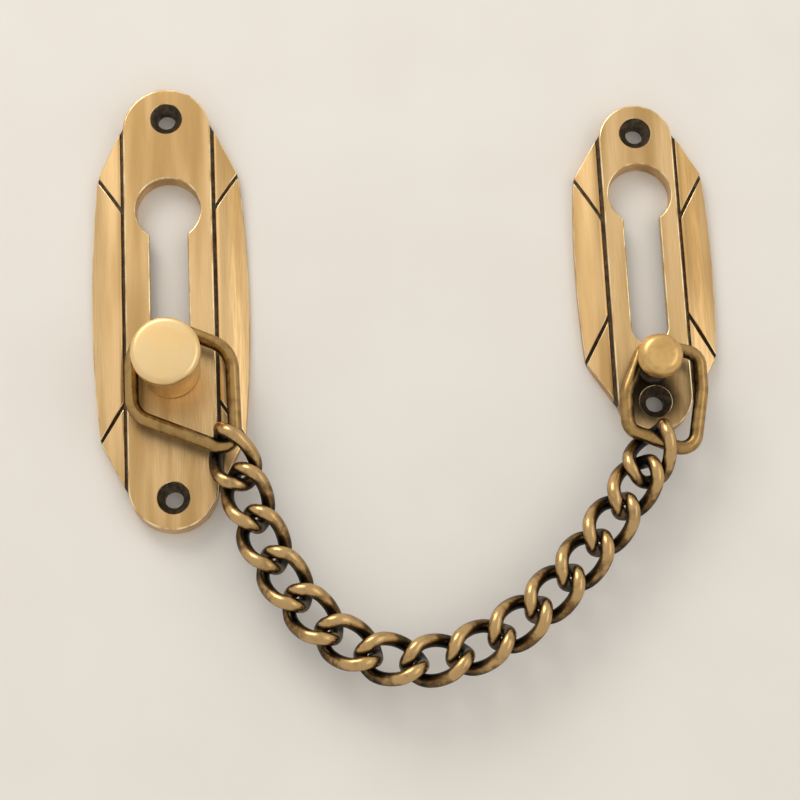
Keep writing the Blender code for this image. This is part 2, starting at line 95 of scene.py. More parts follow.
# Knob and post
KNOB_NECK = 7.4 * mm
KNOB_SHANK = 2.5 * mm
KNOB_HEAD_THICKNESS = 4.8 * mm
KNOB_EDGE = 1.5 * mm            # rounding of the head's front edge
KNOB_CROWN = 0.12 * mm          # the head's front is domed by this much
STEM_CLEARANCE = 0.4 * mm       # each side of the stem in the slot
FOOT_THICKNESS = 1.2 * mm
RIVET_RADIUS = 4.2 * mm
RIVET_THICKNESS = 0.6 * mm
POST_NECK = 2.5 * mm
POST_COLLAR = 4.0 * mm
POST_RIVET = 1.2 * mm           # thickness of the riveted end in the plate's back
POST_FLAT = 0.55                # share of the head's radius that is nearly flat
POST_CROWN = 0.1 * mm
POST_RIM = 3.4 * mm             # depth of the head's rounded rim
POST_UNDER = 2.5 * mm           # and of the hollow under it

# Rings and chain
RING_WIRE = 1.8 * mm
RING_CLEARANCE = 0.45 * mm      # between a ring's wire and the neck that it hangs on
RING_SLOPE = 0.43               # rise of a ring's lower bar towards the left
RING_STEP = 0.55 * mm           # spacing of the points along a ring's wire
KEEPER_RING = dict(
    reach=15.9 * mm, foot_reach=16.4 * mm, drop=24.0 * mm, top_angle=math.radians(66),
    upper_radius=8.0 * mm, left_radius=6.2 * mm, lower_radius=3.5 * mm,
)
ANCHOR_RING = dict(
    reach=11.1 * mm, foot_reach=7.8 * mm, left_reach=8.5 * mm, drop=24.2 * mm, bend_drop=7.3 * mm,
    top_angle=math.radians(75), side_angle=math.radians(157), upper_radius=4.0 * mm,
    shoulder_radius=9.0 * mm, left_radius=3.8 * mm, lower_radius=4.0 * mm, bend_radius=16.0 * mm,
)
LINK_COUNT = 15
LINK_WIRE = 1.75 * mm
LINK_LENGTH = 10.97 * LINK_WIRE
LINK_WIDTH = 7.66 * LINK_WIRE
LINK_TWIST = math.radians(65)   # at a link's ends, growing evenly from its middle
END_ROLL = math.radians(23)     # turn of the first and last links about their length
LEFT_LINKS = 8                  # links that hang from the keeper ring
WIRE_FIT = 0.985                # the smooth wire's radius, as a share of the faceted one's
LINK_STEP = 0.5 * mm            # spacing of the points along a link's wire

ARC_STEP = math.radians(5)

# Stage
CAMERA_PLACE = (0.04008, -0.54834, -0.13196)
CAMERA_TURNS = (-0.0344, 0.2532, -0.0477)       # yaw, pitch and roll
CAMERA_LENS = 97.85                             # mm, on a 36 mm sensor
WALL_REACH = 1500 * mm          # half the width of the door behind
WALL_BEHIND = 0.15 * mm         # the door's face lies this far behind the plates
WALL_OVERLAP = 1.5 * mm         # and reaches this far in under their edges

KEEPER_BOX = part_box("keeper_plate")
ANCHOR_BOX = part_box("anchor_plate")
KNOB_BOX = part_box("sliding_knob")
POST_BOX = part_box("anchor_post")
RING_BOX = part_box("keeper_ring")


def middle(box):
    return (box[0] + box[1]) / 2


KNOB_AXIS = middle(KNOB_BOX)
POST_AXIS = middle(POST_BOX)
CHAIN_Y = middle(RING_BOX).y


# Outlines, as (x, z) points that run anticlockwise seen from the front

def arc(centre, radius, start, end):
    count = max(2, math.ceil(abs(end - start) / ARC_STEP) + 1)
    angles = [start + (end - start) * i / (count - 1) for i in range(count)]
    return [
        Vector((centre[0] + radius * math.cos(angle), centre[1] + radius * math.sin(angle)))
        for angle in angles
    ]


def rounded(corners):
    """A closed outline through corners (x, z, radius), each rounded with an arc."""
    outline = []
    for i, (x, z, radius) in enumerate(corners):
        here = Vector((x, z))
        before = (Vector(corners[i - 1][:2]) - here).normalized()
        after = (Vector(corners[(i + 1) % len(corners)][:2]) - here).normalized()
        half = before.angle(after) / 2
        centre = here + (before + after).normalized() * (radius / math.sin(half))
        start = here + before * (radius / math.tan(half)) - centre
        first = math.atan2(start.y, start.x)
        outline += arc(centre, radius, first, first + math.pi - 2 * half)
    return outline


def clip(outline, point, keep):
    """The part of a convex outline on the side of point that the direction keep faces."""
    kept = []
    for i, here in enumerate(outline):
        before = outline[i - 1]
        now, then = (here - point).dot(keep), (before - point).dot(keep)
        if (now > 0) != (then > 0):
            kept.append(before + (here - before) * (then / (then - now)))
        if now > 0:
            kept.append(here)
    return kept


def offset(outline, distance):
    """The outline moved to its left, which is into the metal."""
    moved = []
    for i, here in enumerate(outline):
        before = (here - outline[i - 1]).normalized()
        after = (outline[(i + 1) % len(outline)] - here).normalized()
        left = Vector((-before.y, before.x))
        across = left + Vector((-after.y, after.x))
        moved.append(here + across * (distance / across.dot(left)))
    return moved


def mirrored(outline, side):
    return outline if side > 0 else [Vector((-p.x, p.y)) for p in reversed(outline)]


def flipped(outline):
    return [Vector((p.x, -p.y)) for p in reversed(outline)]


# Mesh helpers

BRASS, WORN, PATINA_AND_SHADE = 0, 1, 2


def new_object(name, mesh):
    obj = bpy.data.objects.new(name, mesh)
    bpy.context.scene.collection.objects.link(obj)
    return obj


def mesh_object(name, work, materials):
    bmesh.ops.recalc_face_normals(work, faces=work.faces)
    mesh = bpy.data.meshes.new(name)
    work.to_mesh(mesh)
    work.free()
    for material in materials:
        mesh.materials.append(material)
    return new_object(name, mesh)


def smooth(obj, sharp=35):
    mesh = obj.data
    mesh.polygons.foreach_set("use_smooth", [True] * len(mesh.polygons))
    mesh.set_sharp_from_angle(angle=math.radians(sharp))


def slab(loops, back, front, rounding, origin, surface=BRASS):
    """Closed solid between two depths whose front edges are rounded and whose back is bare brass.

    Holes among the loops run clockwise.
    """
    steps = 4
    edge = WORN if surface == BRASS else surface
    rings = [(0, back), (0, front - rounding)]
    for i in range(1, steps + 1):
        angle = math.pi / 2 * i / steps
        rings.append((rounding * (1 - math.cos(angle)), front - rounding * (1 - math.sin(angle))))
    work = bmesh.new()
    layers = []
    for distance, depth in rings:
        moved = [offset(loop, distance) for loop in loops]
        layers.append([
            [work.verts.new((origin.x + p.x, -depth, origin.z + p.y)) for p in loop] for loop in moved
        ])
    for number, (lower, upper) in enumerate(zip(layers, layers[1:])):
        for low, high in zip(lower, upper):
            for i in range(len(low)):
                face = work.faces.new((low[i - 1], low[i], high[i], high[i - 1]))
                face.material_index = surface if number < 2 else edge
    for layer, metal in ((layers[0], BRASS), (layers[-1], surface)):
        flat = [v for loop in layer for v in loop]
        for triangle in tessellate_polygon([[v.co for v in loop] for loop in layer]):
            work.faces.new([flat[i] for i in triangle]).material_index = metal
    return work


def bend(work, origin, back, front, cuts, depth_at):
    """Gives a flat slab's front the depths that depth_at(distance from the centreline) says.

    Points in the back half of the slab stay where they are.
    """
    for cut in cuts:
        for x in (origin.x - cut, origin.x + cut):
            geometry = work.verts[:] + work.edges[:] + work.faces[:]
            bmesh.ops.bisect_plane(
                work, geom=geometry, dist=1e-7, plane_co=(x, 0, 0), plane_no=(1, 0, 0)
            )
    for vertex in work.verts:
        share = (-vertex.co.y - back) / (front - back)
        if share > 0.5:
            vertex.co.y -= depth_at(abs(vertex.co.x - origin.x)) - front


def turned(name, profile, centre, materials, steps=72):
    """A profile of (radius, depth, material) points spun about the Y axis.

    Each point's material is that of the band that follows it.
    """
    work = bmesh.new()
    rings = []
    for radius, depth, _ in profile:
        count = steps if radius > 0 else 1
        turns = [2 * math.pi * i / count for i in range(count)]
        rings.append([
            work.verts.new((centre.x + radius * math.cos(a), -depth, centre.z + radius * math.sin(a)))
            for a in turns
        ])
    for (_, _, material), low, high in zip(profile, rings, rings[1:]):
        for i in range(steps):
            if len(low) == 1:
                corners = low[0], high[i], high[i - 1]
            elif len(high) == 1:
                corners = low[i - 1], low[i], high[0]
            else:
                corners = low[i - 1], low[i], high[i], high[i - 1]
            work.faces.new(corners).material_index = material
    first, last = rings[0], rings[-1]
    if len(first) > 1:
        for i in range(steps):
            face = work.faces.new((first[i - 1], first[i], last[i], last[i - 1]))
            face.material_index = profile[-1][2]
    return mesh_object(name, work, materials)


def edge_round(radius, depth, rounding, outward, material, steps=5):
    """Profile points of a rounded front edge, from the face to the side. outward is 1 for an outer edge."""
    points = []
    for i in range(steps + 1):
        angle = math.pi / 2 * i / steps
        points.append((
            radius - outward * rounding * (1 - math.sin(angle)),
            depth - rounding * (1 - math.cos(angle)),
            material,
        ))
    return points


def combine(obj, others, operation):
    """Booleans applied one after another, each helper removed afterwards."""
    for other in others:
        modifier = obj.modifiers.new(other.name, "BOOLEAN")
        modifier.operation = operation
        modifier.solver = "EXACT"
        modifier.object = other
    bpy.context.view_layer.update()
    graph = bpy.context.evaluated_depsgraph_get()
    mesh = bpy.data.meshes.new_from_object(obj.evaluated_get(graph))
    obj.modifiers.clear()
    obj.data = mesh
    for other in others:
        bpy.data.objects.remove(other, do_unlink=True)


def adopt(obj, body, node):
    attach(obj, body)
    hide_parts(node)


# Materials

class Nodes:
    """A material's node tree with short ways to add to it."""

    def __init__(self, name, metallic=1.0):
        self.material = bpy.data.materials.new(name)
        self.material.use_nodes = True
        self.tree = self.material.node_tree
        self.shader = self.tree.nodes["Principled BSDF"]
        self.shader.inputs["Metallic"].default_value = metallic
        self.place = self.add("ShaderNodeTexCoord").outputs["Object"]

    def add(self, kind, **settings):
        node = self.tree.nodes.new(kind)
        for key, value in settings.items():
            setattr(node, key, value)
        return node

    def join(self, source, target):
        self.tree.links.new(source, target)

    def noise(self, scale, detail=3.0, roughness=0.5):
        """Noise whose cells per metre along X, Y and Z are the three scales."""
        mapping = self.add("ShaderNodeMapping")
        mapping.inputs["Scale"].default_value = scale
        self.join(self.place, mapping.inputs["Vector"])
        noise = self.add("ShaderNodeTexNoise")
        noise.inputs["Scale"].default_value = 1.0
        noise.inputs["Detail"].default_value = detail
        noise.inputs["Roughness"].default_value = roughness
        self.join(mapping.outputs["Vector"], noise.inputs["Vector"])
        return noise.outputs["Fac"]

    def span(self, value, low, high, to_low=0.0, to_high=1.0):
        node = self.add("ShaderNodeMapRange", interpolation_type="SMOOTHSTEP")
        numbers = (low, high, to_low, to_high)
        for key, number in zip(("From Min", "From Max", "To Min", "To Max"), numbers):
            node.inputs[key].default_value = number
        self.join(value, node.inputs["Value"])
        return node.outputs["Result"]

    def maths(self, operation, first, second):
        node = self.add("ShaderNodeMath", operation=operation)
        for socket, value in zip(node.inputs, (first, second)):
            if isinstance(value, (int, float)):
                socket.default_value = value
            else:
                self.join(value, socket)
        return node.outputs["Value"]

    def mix(self, share, first, second):
        """A colour between two, each a colour or an output."""
        node = self.add("ShaderNodeMix", data_type="RGBA")
        self.join(share, node.inputs["Factor"])
        for key, value in (("A", first), ("B", second)):
            socket = next(s for s in node.inputs if s.name == key and s.type == "RGBA")
            if isinstance(value, tuple):
                socket.default_value = (*value, 1)
            else:
                self.join(value, socket)
        return next(s for s in node.outputs if s.type == "RGBA")

    def bump(self, height, distance, strength):
        node = self.add("ShaderNodeBump")
        node.inputs["Distance"].default_value = distance
        node.inputs["Strength"].default_value = strength
        self.join(height, node.inputs["Height"])
        self.join(node.outputs["Normal"], self.shader.inputs["Normal"])

    def finish(self, colour, roughness):
        self.join(colour, self.shader.inputs["Base Color"])
        self.join(roughness, self.shader.inputs["Roughness"])
        return self.material


PALE_GOLD = (0.84, 0.57, 0.27)
GOLD = (0.54, 0.33, 0.125)
UMBER = (0.40, 0.24, 0.10)
DARK = (0.030, 0.020, 0.012)
RING_BLACK = (0.035, 0.022, 0.010)
BLUE_BLACK = (0.012, 0.016, 0.018)


def brushed_brass(name, light, mid, shade, shade_patch=None):
    """Brass brushed up and down: broad tone bands, finer streaks and hair-fine scratches."""
    made = Nodes(name)
    bands = made.span(made.noise((150, 150, 16), 2.0), 0.34, 0.66)
    streaks = made.span(made.noise((3200, 3200, 120), 3.0), 0.30, 0.70)
    scratches = made.noise((12000, 12000, 260), 2.0)
    colour = made.mix(bands, mid, light)
    colour = made.mix(made.span(streaks, 0.0, 1.0, 0.0, 0.25), colour, shade)
    # Painted shade: a dark, wobbly-edged patch round a point, where the post and its ring shade the plate.
    if shade_patch is not None:
        centre, radius = shade_patch
        away = made.add("ShaderNodeVectorMath", operation="DISTANCE")
        made.join(made.place, away.inputs[0])
        away.inputs[1].default_value = centre
        wobble = made.maths("MULTIPLY", made.noise((260, 260, 130), 3.0), 0.5 * radius)
        reach = made.maths("ADD", away.outputs["Value"], wobble)
        dark = made.span(reach, 0.75 * radius, 1.45 * radius, 0.97, 0.0)
        colour = made.mix(dark, colour, DARK)
    rough = made.span(streaks, 0.0, 1.0, 0.30, 0.40)
    made.bump(made.maths("ADD", scratches, streaks), 0.02 * mm, 0.25)
    return made.finish(colour, rough)


def worn_brass(name):
    """Edges rubbed bright."""
    made = Nodes(name)
    patches = made.span(made.noise((420, 420, 160), 3.0), 0.35, 0.7)
    colour = made.mix(patches, (0.95, 0.76, 0.44), GOLD)
    return made.finish(colour, made.span(patches, 0.0, 1.0, 0.24, 0.36))


def patina_and_shade(name):
    """Dark tarnish for grooves and screw holes, also painted shade there and under the knob and post heads.
    """
    made = Nodes(name, metallic=0.6)
    patches = made.span(made.noise((700, 700, 700), 4.0), 0.35, 0.7)
    colour = made.mix(patches, DARK, (0.085, 0.055, 0.022))
    return made.finish(colour, made.span(patches, 0.0, 1.0, 0.5, 0.38))


def satin_brass(name, light, mid, dark_share=0.0):
    """Smooth rubbed brass with faint clouding, as on the knob's face."""
    made = Nodes(name)
    clouds = made.span(made.noise((150, 150, 150), 4.0), 0.35, 0.68)
    grain = made.noise((4200, 4200, 4200), 2.0)
    colour = made.mix(clouds, light, mid)
    if dark_share:
        spots = made.span(made.noise((600, 600, 600), 5.0), 0.45, 0.7, 0.0, dark_share)
        colour = made.mix(spots, colour, UMBER)
    made.bump(grain, 0.01 * mm, 0.2)
    return made.finish(colour, made.span(clouds, 0.0, 1.0, 0.34, 0.42))


def bronze_with_painted_shade(name, bright, mid, dark):
    """Bronze painted light on the wire's front and dark at its sides and back, mostly painted shade."""
    made = Nodes(name)
    shade_and_patina = made.add("ShaderNodeAttribute", attribute_name="shade_and_patina").outputs["Fac"]
    clouds = made.noise((330, 330, 330), 4.0, 0.6)
    grain = made.noise((2600, 2600, 2600), 3.0)
    uneven = made.maths("ADD", shade_and_patina, made.span(clouds, 0.3, 0.7, -0.16, 0.16))
    # Painted light and shade: the wire's per-point shade value runs the colour from bright to dark.
    colour = made.mix(made.span(uneven, 0.0, 0.38), bright, mid)
    colour = made.mix(made.span(uneven, 0.34, 0.66), colour, dark)
    made.bump(grain, 0.02 * mm, 0.25)
    return made.finish(colour, made.span(uneven, 0.1, 0.9, 0.27, 0.46))


def plaster(name):
    """The pale painted door behind."""
    made = Nodes(name, metallic=0.0)
    tone = made.noise((30, 30, 30), 3.0)
    colour = made.mix(made.span(tone, 0.3, 0.7), (0.735, 0.690, 0.620), (0.755, 0.712, 0.645))
    rough = made.span(tone, 0.3, 0.7, 0.55, 0.6)
    made.finish(colour, rough)
    see_through = made.add("ShaderNodeBsdfTransparent")
    mix = made.add("ShaderNodeMixShader")
    output = made.tree.nodes["Material Output"]
    made.join(made.add("ShaderNodeNewGeometry").outputs["Backfacing"], mix.inputs["Fac"])
    made.join(made.shader.outputs["BSDF"], mix.inputs[1])
    made.join(see_through.outputs["BSDF"], mix.inputs[2])
    made.join(mix.outputs["Shader"], output.inputs["Surface"])
    return made.material


# Plates

def strip_outline(spec, half_height):
    half = spec["strip_half"]
    return arc((0, half_height - half), half, 0, math.pi) + arc(
        (0, half - half_height), half, math.pi, 2 * math.pi
    )


def keyhole_outline(spec, half_height):
    radius, half = spec["keyhole_radius"], spec["slot_half"]
    mouth = math.asin(half / radius)
    return arc(
        (0, half_height - spec["keyhole_inset"]), radius, -math.pi / 2 + mouth, 3 * math.pi / 2 - mouth
    ) + arc((0, half_height - spec["slot_end"]), half, math.pi, 2 * math.pi)


def wing_outline(spec, half_height, half_width):
    """The right wing, from inside the strip to its bowed outer edge."""
    join = half_height - spec["wing_inset"]
    corner = half_height - spec["corner_inset"]
    bow = half_width - spec["corner_half"]
    inner = spec["strip_half"] * WING_ROOT
    edge = [
        Vector((spec["corner_half"] + bow * (1 - t * t), corner * t))
        for t in [2 * i / WING_STEPS - 1 for i in range(WING_STEPS + 1)]
    ]
    return [Vector((inner, -join)), *edge, Vector((inner, join))]


def facets(spec, half_height, outline):
    """The wing's long facet and its upper and lower ones, parted by the grooves."""
    start = Vector((spec["strip_half"], half_height - spec["seam_inset"]))
    corner = Vector((spec["corner_half"], half_height - spec["corner_inset"]))
    along = (corner - start).normalized()
    down = Vector((along.y, -along.x))
    half = GROOVE_WIDTH / 2
    beyond = clip(outline, Vector((spec["strip_half"] + GROOVE_WIDTH, 0)), Vector((1, 0)))
    upper = clip(beyond, start - half * down, -down)
    long = clip(beyond, start + half * down, down)
    long = flipped(clip(flipped(long), start + half * down, down))
    return long, upper, flipped(upper)


def wing_depth(spec, x):
    inner = PLATE_DEPTH - WING_STEP
    share = (x - spec["strip_half"]) / (spec["corner_half"] - spec["strip_half"])
    return inner + (WING_EDGE_DEPTH - inner) * share


def facet_depth(spec, bulge):
    """Depth of a facet at a distance from the centreline: a slope, a bulge and a lip beside the strip."""
    start = spec["strip_half"] + GROOVE_WIDTH

    def depth(x):
        share = (x - start) / (spec["corner_half"] - start)
        lip = max(0.0, 1 - (x - start) / LIP_WIDTH)
        return wing_depth(spec, x) + bulge * 4 * share * (1 - share) - LIP_DROP * lip * lip
    return depth


def cut_lines(spec, half_width):
    start = spec["strip_half"] + GROOVE_WIDTH
    near = [start + LIP_WIDTH * i / LIP_CUTS for i in range(1, LIP_CUTS + 1)]
    run = half_width - start - LIP_WIDTH
    return near + [start + LIP_WIDTH + run * i / SLOPE_CUTS for i in range(1, SLOPE_CUTS)]


def add_wing(name, spec, origin, half_height, half_width, side, materials):
    made = []
    outline = wing_outline(spec, half_height, half_width)
    front = WING_EDGE_DEPTH
    cuts = cut_lines(spec, half_width)
    inside = mirrored(offset(outline, FLOOR_INSET), side)
    # The grooves' floor is dark tarnish that also serves as painted shade.
    floor = slab([inside], 0, front, FLOOR_ROUNDING, origin, PATINA_AND_SHADE)
    bend(floor, origin, 0, front, cuts, lambda x: wing_depth(spec, x) - GROOVE_DEPTH)
    made.append(mesh_object(f"{name}_floor", floor, materials))
    bulges = (WING_BULGE, CORNER_BULGE, CORNER_BULGE)
    for number, (facet, bulge) in enumerate(zip(facets(spec, half_height, outline), bulges)):
        work = slab([mirrored(facet, side)], 0, front, FACET_ROUNDING, origin)
        bend(work, origin, 0, front, cuts, facet_depth(spec, bulge))
        made.append(mesh_object(f"{name}_facet_{number}", work, materials))
    return made


def screw_hole(name, centre, materials):
    sink = (SCREW_SINK - SCREW_BORE) / 2
    # The countersink and bore are dark tarnish that also serves as painted shade.
    profile = [
        (0, PLATE_DEPTH + CUT_OVER, WORN),
        (SCREW_SINK / 2 + 2 * SINK_LIP, PLATE_DEPTH + CUT_OVER, WORN),
        (SCREW_SINK / 2 + SINK_LIP, PLATE_DEPTH, WORN),
        (SCREW_SINK / 2, PLATE_DEPTH - SINK_LIP, PATINA_AND_SHADE),
        (SCREW_BORE / 2, PLATE_DEPTH - sink, PATINA_AND_SHADE),
        (SCREW_BORE / 2, -CUT_OVER, PATINA_AND_SHADE),
        (0, -CUT_OVER, PATINA_AND_SHADE),
    ]
    return turned(name, profile, centre, materials)


def channel(name, spec, origin, half_height, materials):
    top = (0, half_height - spec["keyhole_inset"])
    foot = (0, half_height - spec["slot_end"])
    outline = arc(top, CHANNEL_HALF, 0, math.pi) + arc(foot, CHANNEL_HALF, math.pi, 2 * math.pi)
    # The channel's walls are dark tarnish that also serves as painted shade.
    hollow = slab([outline], -CUT_OVER, CHANNEL_DEPTH, CHANNEL_ROUNDING, origin, PATINA_AND_SHADE)
    return mesh_object(name, hollow, materials)


def make_plate(node, spec, box, materials, cutters=()):
    origin = middle(box)
    half_height = (box[1].z - box[0].z) / 2
    half_width = (box[1].x - box[0].x) / 2
    loops = [strip_outline(spec, half_height), list(reversed(keyhole_outline(spec, half_height)))]
    plate = mesh_object(f"{node}_fine", slab(loops, 0, PLATE_DEPTH, STRIP_ROUNDING, origin), materials)
    wings = []
    for side, hand in ((-1, "left"), (1, "right")):
        wings += add_wing(f"{node}_{hand}", spec, origin, half_height, half_width, side, materials)
    combine(plate, wings, "UNION")
    reach = Vector((0, 0, half_height - spec["screw_inset"]))
    holes = [
        channel(f"{node}_channel", spec, origin, half_height, materials),
        screw_hole(f"{node}_screw_top", origin + reach, materials),
        screw_hole(f"{node}_screw_bottom", origin - reach, materials),
        *cutters,
    ]
    combine(plate, holes, "DIFFERENCE")
    smooth(plate)
    normals = plate.modifiers.new("Weighted normals", "WEIGHTED_NORMAL")
    normals.keep_sharp = True
    adopt(plate, "plates", node)
    return plate


def post_bore(materials):
    counterbore = POST_RIVET + GAP
    # The bore's walls are dark tarnish, painted shade in the hole.
    profile = [
        (0, PLATE_DEPTH + CUT_OVER, PATINA_AND_SHADE),
        (POST_NECK + GAP, PLATE_DEPTH + CUT_OVER, PATINA_AND_SHADE),
        (POST_NECK + GAP, counterbore, PATINA_AND_SHADE),
        (RIVET_RADIUS + GAP, counterbore, PATINA_AND_SHADE),
        (RIVET_RADIUS + GAP, -CUT_OVER, PATINA_AND_SHADE),
        (0, -CUT_OVER, PATINA_AND_SHADE),
    ]
    return turned("post_bore", profile, POST_AXIS, materials)


# Knob, washer and post

def make_knob(materials):
    front = -KNOB_BOX[0].y
    head = (KNOB_BOX[1].x - KNOB_BOX[0].x) / 2
    back = front - KNOB_HEAD_THICKNESS
    shoulder = CHANNEL_DEPTH - GAP / 2
    foot_back = shoulder - 2 * GAP - FOOT_THICKNESS
    stem = KEEPER["slot_half"] - STEM_CLEARANCE
    rim = head - KNOB_EDGE
    crown = [(rim * i / 4, front - KNOB_CROWN * (i / 4) ** 2, BRASS) for i in range(4)]
    profile = [
        *crown,
        *edge_round(head, front - KNOB_CROWN, KNOB_EDGE, 1, BRASS, 8),
        (head, back + 0.9 * mm, WORN),
        # The head's underside and the neck's foot are dark tarnish, painted shade under the head.
        (head - 0.25 * mm, back + 0.35 * mm, PATINA_AND_SHADE),
        (head - 0.8 * mm, back, PATINA_AND_SHADE),
        (KNOB_NECK + 0.2 * mm, back - 0.05 * mm, PATINA_AND_SHADE),
        (KNOB_NECK, back - 0.3 * mm, BRASS),
        (KNOB_NECK, PLATE_DEPTH + GAP + 0.3 * mm, WORN),
        (KNOB_NECK - 0.3 * mm, PLATE_DEPTH + GAP, PATINA_AND_SHADE),
        (stem, PLATE_DEPTH + GAP, BRASS),
        (stem, shoulder, BRASS),
        (KNOB_SHANK, shoulder, BRASS),
        (KNOB_SHANK, foot_back, BRASS),
        (RIVET_RADIUS - 0.15 * mm, foot_back, WORN),
        (RIVET_RADIUS, foot_back - 0.15 * mm, WORN),
        (RIVET_RADIUS - 0.5 * mm, foot_back - 0.45 * mm, BRASS),
        (RIVET_RADIUS - 1.6 * mm, foot_back - RIVET_THICKNESS, BRASS),
        (0, foot_back - RIVET_THICKNESS, BRASS),
    ]
    knob = turned("sliding_knob_fine", profile, KNOB_AXIS, materials, 96)
    smooth(knob)
    adopt(knob, "knob", "sliding_knob")


def make_washer(materials):
    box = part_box("knob_foot_washer")
    front, back = -box[0].y, -box[1].y
    rim = (box[1].x - box[0].x) / 2
    bevel = 0.2 * mm
    hole = KNOB_SHANK + GAP
    profile = [
        (hole + bevel, front, BRASS),
        (rim - bevel, front, WORN),
        (rim, front - bevel, BRASS),
        (rim, back + bevel, WORN),
        (rim - bevel, back, BRASS),
        (hole + bevel, back, WORN),
        (hole, back + bevel, BRASS),
        (hole, front - bevel, WORN),
    ]
    washer = turned("knob_foot_washer_fine", profile, middle(box), materials, 96)
    smooth(washer)
    adopt(washer, "slider", "knob_foot_washer")


def make_post(materials):
    front = -POST_BOX[0].y
    head = (POST_BOX[1].x - POST_BOX[0].x) / 2
    collar = PLATE_DEPTH + GAP
    flat = head * POST_FLAT
    widest = front - POST_CROWN - POST_RIM
    crown = [(flat * i / 3, front - POST_CROWN * (i / 3) ** 2, BRASS) for i in range(3)]
    rim = []
    for i in range(9):
        angle = math.pi / 2 * i / 8
        rim.append((
            flat + (head - flat) * math.sin(angle),
            front - POST_CROWN - POST_RIM * (1 - math.cos(angle)),
            BRASS,
        ))
    # The hollow under the head, the neck and the collar are dark tarnish, painted shade under the head.
    under = []
    for i in range(1, 7):
        angle = math.pi / 2 * i / 6
        under.append((
            head - (head - POST_NECK - 0.2 * mm) * (1 - math.cos(angle)),
            widest - POST_UNDER * math.sin(angle),
            PATINA_AND_SHADE,
        ))
    profile = [
        *crown, *rim, *under,
        (POST_NECK, widest - POST_UNDER - 0.4 * mm, PATINA_AND_SHADE),
        (POST_NECK, collar + 1.2 * mm, PATINA_AND_SHADE),
        (POST_COLLAR - 0.4 * mm, collar + 1.0 * mm, PATINA_AND_SHADE),
        (POST_COLLAR, collar + 0.6 * mm, PATINA_AND_SHADE),
        (POST_COLLAR, collar, PATINA_AND_SHADE),
        (POST_NECK, collar, PATINA_AND_SHADE),
        (POST_NECK, POST_RIVET, BRASS),
        (RIVET_RADIUS, POST_RIVET, BRASS),
        (RIVET_RADIUS, GAP + 0.4 * mm, BRASS),
        (RIVET_RADIUS - 0.8 * mm, GAP, BRASS),
        (0, GAP, BRASS),
    ]
    post = turned("anchor_post_fine", profile, POST_AXIS, materials, 96)
    smooth(post, 50)
    adopt(post, "plates", "anchor_post")


# Rings and chain

def loop_tube(name, line, centre, radius, shade_and_patina_at, material, sides=24):
    """A round wire along a closed line round its centre.

    Each point's darkening, mostly painted shade with some tarnish, comes from the function of (inner, front,
    sunk) passed in: inner is 1 on the loop's inside, front is 1 where the wire faces the room and takes
    painted light, and sunk is how far the wire's centre line lies behind the loop's centre, in wire radii.
    """
    work = bmesh.new()
    layer = work.verts.layers.float.new("shade_and_patina")
    rings = []
    for i, here in enumerate(line):
        along = (line[(i + 1) % len(line)] - line[i - 1]).normalized()
        out = here - centre
        out = (out - out.dot(along) * along).normalized()
        side = along.cross(out)
        ring = []
        for k in range(sides):
            angle = 2 * math.pi * k / sides
            away = math.cos(angle) * out + math.sin(angle) * side
            vertex = work.verts.new(here + radius * away)
            # Painted shade at the wire's sides, back and inside; painted light where it faces the room.
            vertex[layer] = shade_and_patina_at(-math.cos(angle), -away.y, (here.y - centre.y) / radius)
            ring.append(vertex)
        rings.append(ring)
    for i, ring in enumerate(rings):
        before = rings[i - 1]
        for k in range(sides):
            work.faces.new((before[k - 1], before[k], ring[k], ring[k - 1]))
    obj = mesh_object(name, work, [material])
    smooth(obj, 60)
    return obj


def resample(points, step):
    """Points spaced evenly along a closed line."""
    closed = points + points[:1]
    lengths = [0.0]
    for a, b in zip(closed, closed[1:]):
        lengths.append(lengths[-1] + (b - a).length)
    count = round(lengths[-1] / step)
    spaced, k = [], 0
    for i in range(count):
        want = lengths[-1] * i / count
        while lengths[k + 1] < want:
            k += 1
        share = (want - lengths[k]) / (lengths[k + 1] - lengths[k])
        spaced.append(closed[k].lerp(closed[k + 1], share))
    return spaced


def crown_corner(radius, side, top):
    away = radius / math.cos((side - top) / 2)
    turn = (side + top) / 2
    return (away * math.cos(turn), away * math.sin(turn), radius)


def on_tangent(radius, normal, x):
    return (radius - x * math.cos(normal)) / math.sin(normal)


def keeper_ring_corners():
    """Corners (x, z, radius) of the wire's centre line about the knob's axis, anticlockwise."""
    ring = KEEPER_RING
    crown = KNOB_NECK + RING_CLEARANCE + RING_WIRE
    top, reach, foot = ring["top_angle"], ring["reach"], ring["foot_reach"]
    return [
        (reach, on_tangent(crown, top, reach), ring["upper_radius"]),
        crown_corner(crown, math.pi, top),
        (-crown, -ring["drop"] + (foot + crown) * RING_SLOPE, ring["left_radius"]),
        (foot, -ring["drop"], ring["lower_radius"]),
    ]


def anchor_ring_corners():
    """The same for the narrower ring, about the post's axis."""
    ring = ANCHOR_RING
    crown = POST_NECK + RING_CLEARANCE + RING_WIRE
    top, side = ring["top_angle"], ring["side_angle"]
    reach, foot, left = ring["reach"], ring["foot_reach"], -ring["left_reach"]
    return [
        (reach, on_tangent(crown, top, reach), ring["upper_radius"]),
        crown_corner(crown, side, top),
        (left, on_tangent(crown, side, left), ring["shoulder_radius"]),
        (left, -ring["drop"] + (foot - left) * RING_SLOPE, ring["left_radius"]),
        (foot, -ring["drop"], ring["lower_radius"]),
        (reach, -ring["bend_drop"], ring["bend_radius"]),
    ]


def clamp(value):
    return max(0.0, min(1.0, value))


def ring_shade_and_patina(inner, front, sunk):
    """Painted shade: dark at the sides and behind, darker inside the loop; painted light facing the room."""
    return clamp(0.72 - 0.62 * front + 0.24 * inner + 0.1 * sunk)


